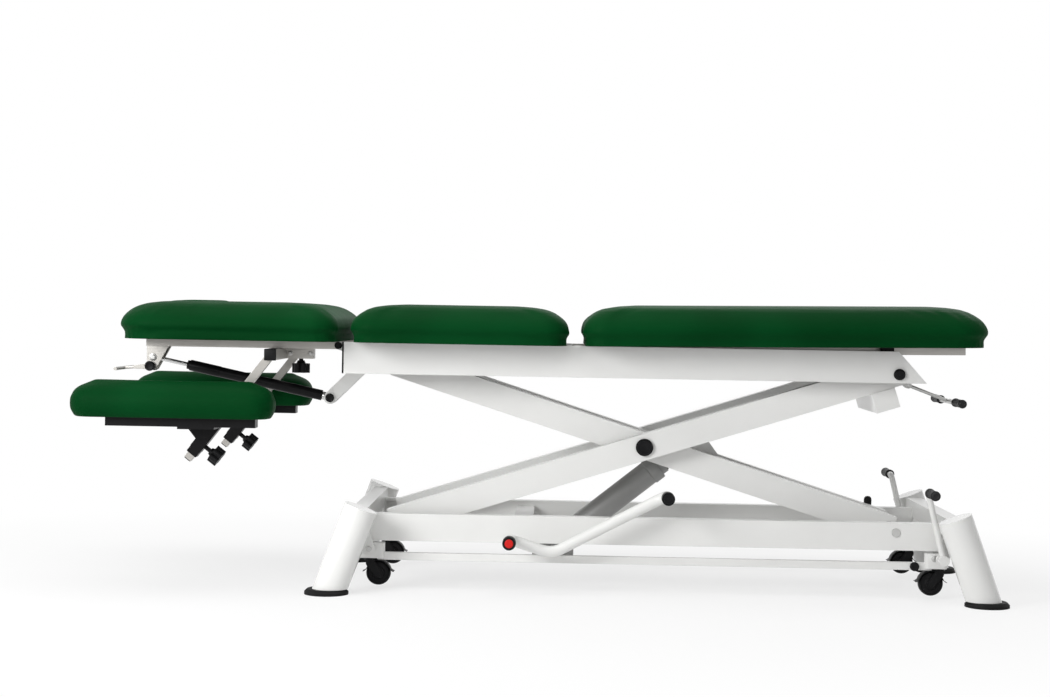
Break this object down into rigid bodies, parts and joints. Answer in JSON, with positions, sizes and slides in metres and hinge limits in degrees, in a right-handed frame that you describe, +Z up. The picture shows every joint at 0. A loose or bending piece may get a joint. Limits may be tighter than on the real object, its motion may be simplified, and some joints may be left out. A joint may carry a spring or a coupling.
{
  "type": "treatment table",
  "caption": "Massage and treatment table with tilting head and leg sections, lowered arm rests, face hole, foot-pumped scissor lift and castors that drop on a lever.",
  "frame": {"origin": "on the floor, under the middle of the whole object", "axes": "+Z up, +X from the head end towards the leg end, +Y to the side away from the foot pump"},
  "size_m": [2.094, 0.79, 0.6656],
  "materials": {
    "green_leatherette": "satin",
    "white_paint": "satin",
    "silver_steel": "satin",
    "black_plastic": "satin",
    "red_plastic": "satin",
    "rubber": "matte",
    "black_paint": "satin",
    "grey_paint": "satin",
    "chrome_rod": "polished",
    "board": "matte"
  },
  "bodies": {
    "base": {"base_rails": "white_paint", "base_crossbeams": "white_paint", "foot_posts": "white_paint", "foot_pads": "rubber", "base_cross_member": "white_paint", "base_pins": "silver_steel", "pump_unit": "grey_paint"},
    "inner_arms": {"inner_arms": "white_paint", "centre_pivot_bolts": "black_plastic"},
    "outer_arms": {"outer_arms": "white_paint"},
    "upper_rollers": {"upper_roller_axle": "silver_steel"},
    "lower_rollers": {"lower_roller_axle": "silver_steel"},
    "ram_barrel": {"ram_barrel": "grey_paint"},
    "ram_rod": {"ram_rod": "chrome_rod"},
    "top_frame": {"top_rails": "white_paint", "top_cross_tubes": "white_paint", "rail_end_caps": "black_plastic", "top_pivot_shaft": "black_plastic", "top_frame_pins": "silver_steel", "rubber_stops": "rubber", "centre_board": "board", "centre_pad": "green_leatherette"},
    "head_section": {"head_frame": "silver_steel", "head_board": "board", "head_pad": "green_leatherette", "arm_support": "silver_steel"},
    "leg_section": {"leg_frame": "silver_steel", "leg_board": "board", "leg_pad": "green_leatherette"},
    "head_gas_barrel": {"head_gas_barrel": "black_paint"},
    "head_gas_rod": {"head_gas_rod": "chrome_rod"},
    "leg_gas_barrel": {"leg_gas_barrel": "black_paint"},
    "leg_gas_rod": {"leg_gas_rod": "chrome_rod"},
    "head_release_lever": {"head_release_lever": "silver_steel"},
    "leg_release_lever": {"leg_release_lever": "silver_steel", "leg_lever_grips": "black_plastic"},
    "face_plug": {"face_plug": "green_leatherette"},
    "near_arm_rest": {"near_arm_carrier": "black_paint", "near_arm_pad": "green_leatherette"},
    "far_arm_rest": {"far_arm_carrier": "black_paint", "far_arm_pad": "green_leatherette"},
    "near_arm_knob": {"near_arm_knob": "black_plastic"},
    "far_arm_knob": {"far_arm_knob": "black_plastic"},
    "arm_tube_knob": {"arm_tube_knob": "black_plastic"},
    "pump_pedal": {"pump_pedal": "white_paint", "pedal_head_cap": "red_plastic", "pedal_leg_cap": "black_plastic"},
    "leg_castor_shaft": {"leg_castor_shaft": "white_paint", "castor_lever_grips": "black_plastic"},
    "head_castor_shaft": {"head_castor_shaft": "silver_steel"},
    "near_castor_carriage": {"near_castor_carriage": "white_paint"},
    "far_castor_carriage": {"far_castor_carriage": "white_paint"},
    "head_near_castor_fork": {"head_near_castor_fork": "black_paint"},
    "head_near_castor_wheel": {"head_near_castor_wheel": "black_plastic"},
    "head_far_castor_fork": {"head_far_castor_fork": "black_paint"},
    "head_far_castor_wheel": {"head_far_castor_wheel": "black_plastic"},
    "leg_near_castor_fork": {"leg_near_castor_fork": "black_paint"},
    "leg_near_castor_wheel": {"leg_near_castor_wheel": "black_plastic"},
    "leg_far_castor_fork": {"leg_far_castor_fork": "black_paint"},
    "leg_far_castor_wheel": {"leg_far_castor_wheel": "black_plastic"}
  },
  "joints": [
    {"name": "lift", "type": "hinge", "parent": "base", "child": "inner_arms", "pos_m": [0.81, 0, 0.15], "axis": [0, 1, 0], "range_deg": [-6, 10.3]},
    {"name": "scissor_centre", "type": "hinge", "parent": "inner_arms", "child": "outer_arms", "pos_m": [0.23764, 0, 0.33], "axis": [0, 1, 0], "range_deg": [-21.6, 13]},
    {"name": "top_pivot", "type": "hinge", "parent": "outer_arms", "child": "top_frame", "pos_m": [0.81, 0, 0.51], "axis": [0, 1, 0], "range_deg": [-7, 11.3]},
    {"name": "upper_roller_spin", "type": "hinge", "parent": "inner_arms", "child": "upper_rollers", "pos_m": [-0.33473, 0, 0.51], "axis": [0, 1, 0], "continuous": true},
    {"name": "lower_roller_spin", "type": "hinge", "parent": "outer_arms", "child": "lower_rollers", "pos_m": [-0.33473, 0, 0.15], "axis": [0, 1, 0], "continuous": true},
    {"name": "ram_foot", "type": "hinge", "parent": "base", "child": "ram_barrel", "pos_m": [0.053, 0, 0.1], "axis": [0, -1, 0], "range_deg": [-4.08, 6.28]},
    {"name": "ram_stroke", "type": "slide", "parent": "ram_barrel", "child": "ram_rod", "axis": [0.782, 0, 0.6233], "range_m": [-0.0481, 0.0812]},
    {"name": "head_tilt", "type": "hinge", "parent": "top_frame", "child": "head_section", "pos_m": [-0.47, 0, 0.553], "axis": [0, 1, 0], "range_deg": [-30, 14]},
    {"name": "head_gas_foot", "type": "hinge", "parent": "top_frame", "child": "head_gas_barrel", "pos_m": [-0.505, 0, 0.426], "axis": [0, 1, 0], "range_deg": [-33.15, 16]},
    {"name": "head_gas_stroke", "type": "slide", "parent": "head_gas_barrel", "child": "head_gas_rod", "axis": [-0.9786, 0, 0.2059], "range_m": [-0.0675, 0.0326]},
    {"name": "leg_lift", "type": "hinge", "parent": "top_frame", "child": "leg_section", "pos_m": [0.075, 0, 0.553], "axis": [0, -1, 0], "range_deg": [0, 21.2]},
    {"name": "leg_gas_foot", "type": "hinge", "parent": "top_frame", "child": "leg_gas_barrel", "pos_m": [0.205, 0, 0.508], "axis": [0, -1, 0], "range_deg": [-1, 29.93]},
    {"name": "leg_gas_stroke", "type": "slide", "parent": "leg_gas_barrel", "child": "leg_gas_rod", "axis": [0.999, 0, 0.0453], "range_m": [-0.002, 0.03]},
    {"name": "head_release", "type": "hinge", "parent": "head_section", "child": "head_release_lever", "pos_m": [-0.934, 0, 0.494], "axis": [0, 1, 0], "range_deg": [0, 10], "stiffness_Nm_per_rad": 2},
    {"name": "leg_release", "type": "hinge", "parent": "top_frame", "child": "leg_release_lever", "pos_m": [0.864, 0, 0.48], "axis": [0, -1, 0], "range_deg": [0, 12], "stiffness_Nm_per_rad": 4},
    {"name": "face_plug_lift", "type": "slide", "parent": "head_section", "child": "face_plug", "axis": [0, 0, 1], "range_m": [0, 0.07]},
    {"name": "near_arm_height", "type": "slide", "parent": "head_section", "child": "near_arm_rest", "axis": [0.6133, 0, 0.7898], "range_m": [-0.025, 0.045]},
    {"name": "near_arm_knob_turn", "type": "hinge", "parent": "near_arm_rest", "child": "near_arm_knob", "pos_m": [-0.77125, -0.24, 0.32773], "axis": [0.7898, 0, -0.6134], "continuous": true},
    {"name": "far_arm_height", "type": "slide", "parent": "head_section", "child": "far_arm_rest", "axis": [0.6133, 0, 0.7898], "range_m": [-0.025, 0.045]},
    {"name": "far_arm_knob_turn", "type": "hinge", "parent": "far_arm_rest", "child": "far_arm_knob", "pos_m": [-0.77125, 0.24, 0.32773], "axis": [0.7898, 0, -0.6134], "continuous": true},
    {"name": "arm_tube_knob_turn", "type": "hinge", "parent": "head_section", "child": "arm_tube_knob", "pos_m": [-0.5695, -0.062, 0.519], "axis": [0, 0, 1], "continuous": true},
    {"name": "pedal_tread", "type": "hinge", "parent": "base", "child": "pump_pedal", "pos_m": [0.029, -0.262, 0.095], "axis": [0, 1, 0], "range_deg": [-10, 14], "stiffness_Nm_per_rad": 25, "springref_deg": -3.74},
    {"name": "castor_lever", "type": "hinge", "parent": "base", "child": "leg_castor_shaft", "pos_m": [0.91, 0, 0.094], "axis": [0, -1, 0], "range_deg": [0, 90]},
    {"name": "head_castor_turn", "type": "hinge", "parent": "base", "child": "head_castor_shaft", "pos_m": [-0.386, 0, 0.094], "axis": [0, -1, 0], "range_deg": [-1, 91]},
    {"name": "near_carriage_level", "type": "hinge", "parent": "leg_castor_shaft", "child": "near_castor_carriage", "pos_m": [0.896, -0.192, 0.094], "axis": [0, -1, 0], "range_deg": [-91, 1]},
    {"name": "far_carriage_level", "type": "hinge", "parent": "leg_castor_shaft", "child": "far_castor_carriage", "pos_m": [0.896, 0.192, 0.094], "axis": [0, -1, 0], "range_deg": [-91, 1]},
    {"name": "head_near_castor_swivel", "type": "hinge", "parent": "near_castor_carriage", "child": "head_near_castor_fork", "pos_m": [-0.385, -0.192, 0.07], "axis": [0, 0, 1], "continuous": true},
    {"name": "head_near_castor_roll", "type": "hinge", "parent": "head_near_castor_fork", "child": "head_near_castor_wheel", "pos_m": [-0.367, -0.192, 0.036], "axis": [0, 1, 0], "continuous": true},
    {"name": "head_far_castor_swivel", "type": "hinge", "parent": "far_castor_carriage", "child": "head_far_castor_fork", "pos_m": [-0.385, 0.192, 0.07], "axis": [0, 0, 1], "continuous": true},
    {"name": "head_far_castor_roll", "type": "hinge", "parent": "head_far_castor_fork", "child": "head_far_castor_wheel", "pos_m": [-0.367, 0.192, 0.036], "axis": [0, 1, 0], "continuous": true},
    {"name": "leg_near_castor_swivel", "type": "hinge", "parent": "near_castor_carriage", "child": "leg_near_castor_fork", "pos_m": [0.909, -0.192, 0.07], "axis": [0, 0, 1], "continuous": true},
    {"name": "leg_near_castor_roll", "type": "hinge", "parent": "leg_near_castor_fork", "child": "leg_near_castor_wheel", "pos_m": [0.891, -0.192, 0.036], "axis": [0, 1, 0], "continuous": true},
    {"name": "leg_far_castor_swivel", "type": "hinge", "parent": "far_castor_carriage", "child": "leg_far_castor_fork", "pos_m": [0.909, 0.192, 0.07], "axis": [0, 0, 1], "continuous": true},
    {"name": "leg_far_castor_roll", "type": "hinge", "parent": "leg_far_castor_fork", "child": "leg_far_castor_wheel", "pos_m": [0.891, 0.192, 0.036], "axis": [0, 1, 0], "continuous": true}
  ],
  "couplings": [
    {"joint": "scissor_centre", "follows": "lift", "ratio": -2},
    {"joint": "top_pivot", "follows": "lift", "ratio": 1},
    {"joint": "ram_foot", "follows": "lift", "ratio": 0.513},
    {"joint": "ram_stroke", "follows": "lift", "m_per_rad": 0.4404},
    {"joint": "head_gas_foot", "follows": "head_tilt", "ratio": 1.0715},
    {"joint": "head_gas_stroke", "follows": "head_tilt", "m_per_rad": 0.1251},
    {"joint": "leg_gas_foot", "follows": "leg_lift", "ratio": 1.3645},
    {"joint": "leg_gas_stroke", "follows": "leg_lift", "m_per_rad": 0.07575},
    {"joint": "head_castor_turn", "follows": "castor_lever", "ratio": 1},
    {"joint": "near_carriage_level", "follows": "castor_lever", "ratio": -1},
    {"joint": "far_carriage_level", "follows": "castor_lever", "ratio": -1}
  ]
}
